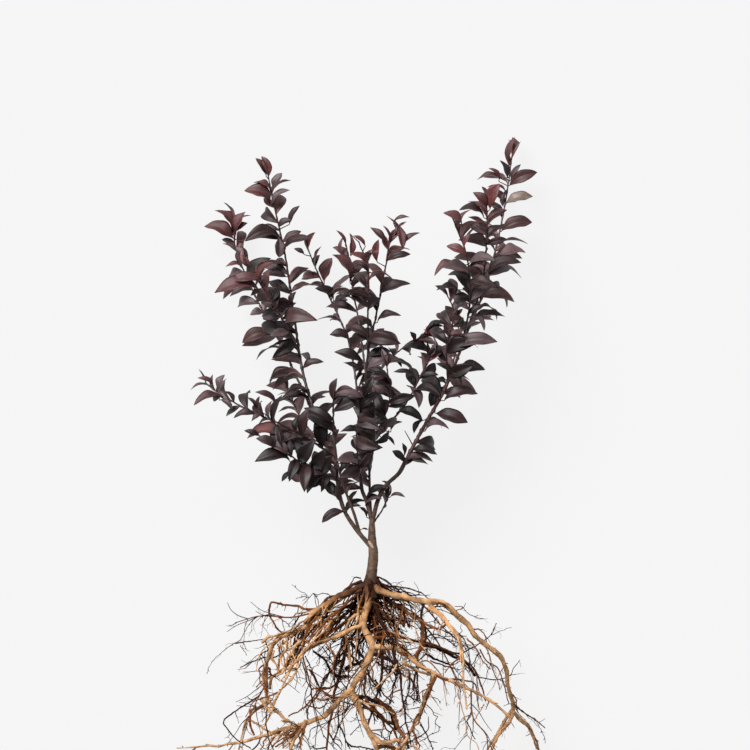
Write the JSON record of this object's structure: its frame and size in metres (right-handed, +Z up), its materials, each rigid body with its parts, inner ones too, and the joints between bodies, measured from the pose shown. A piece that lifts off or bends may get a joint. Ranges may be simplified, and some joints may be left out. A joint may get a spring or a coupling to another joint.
{
  "type": "bare-root crape myrtle",
  "caption": "Young multi-stemmed flowering shrub with dark purple leaves, lifted with its bare woody roots and laid on its side.",
  "frame": {"origin": "centre of the box round the plant in X and Y, at the floor that it lies on", "axes": "+Y from the root tips to the shoot tips, +X across the plant to the right of its pictured side, +Z up from the floor, towards a viewer who looks down on it"},
  "size_m": [0.5594, 1.036, 0.2837],
  "materials": {
    "bark": "thin grey-brown bark, smooth with fine lengthwise streaks",
    "root": "tan washed root bark, matt with fine cross wrinkles",
    "foliage": "dark purple leaves with a soft greyish sheen, young tips burgundy",
    "fibre": "dark brown fibrous rootlets, matt"
  },
  "bodies": {
    "root": {"trunk": "bark", "bough_centre": "bark", "bough_left": "bark", "bough_right": "bark", "bough_left_inner": "bark", "bough_centre_right": "bark", "tap_root": "root", "right_root": "root", "right_root_low": "root", "right_root_outer": "root", "right_root_inner": "root", "right_root_front": "root", "low_right_root": "root", "low_right_root_side": "root", "dark_right_root": "root", "thin_right_root": "root", "left_root": "root", "left_root_low": "root", "left_root_outer": "root", "inner_left_root": "root", "mid_left_root": "root", "sweep_root": "root", "sweep_root_tip": "root", "low_centre_root": "root", "back_root": "root", "front_root": "root", "shoot_left_tall": "foliage", "shoot_left_inner": "foliage", "shoot_left_outer": "foliage", "shoot_low_left": "foliage", "shoot_low_cluster": "foliage", "shoot_left_foot": "foliage", "shoot_left_back": "foliage", "shoot_centre_small": "foliage", "shoot_centre_tall": "foliage", "shoot_centre_mid": "foliage", "shoot_centre_high": "foliage", "shoot_centre_left": "foliage", "shoot_bud_twig": "foliage", "shoot_right_low": "foliage", "shoot_right_tall": "foliage", "shoot_right_mid": "foliage", "shoot_right_left": "foliage", "shoot_right_inner": "foliage", "shoot_right_back": "foliage", "shoot_right_small": "foliage", "shoot_front_low": "foliage", "shoot_front_right": "foliage", "shoot_back_low": "foliage", "shoot_mid_right": "foliage", "rootlets_left_top": "fibre", "rootlets_left_low": "fibre", "rootlets_mid_left": "fibre", "rootlets_centre_left": "fibre", "rootlets_centre_front": "fibre", "rootlets_centre_back": "fibre", "rootlets_dark_right": "fibre", "rootlets_right_top": "fibre", "rootlets_right_low": "fibre", "rootlets_sweep": "fibre"}
  },
  "joints": []
}
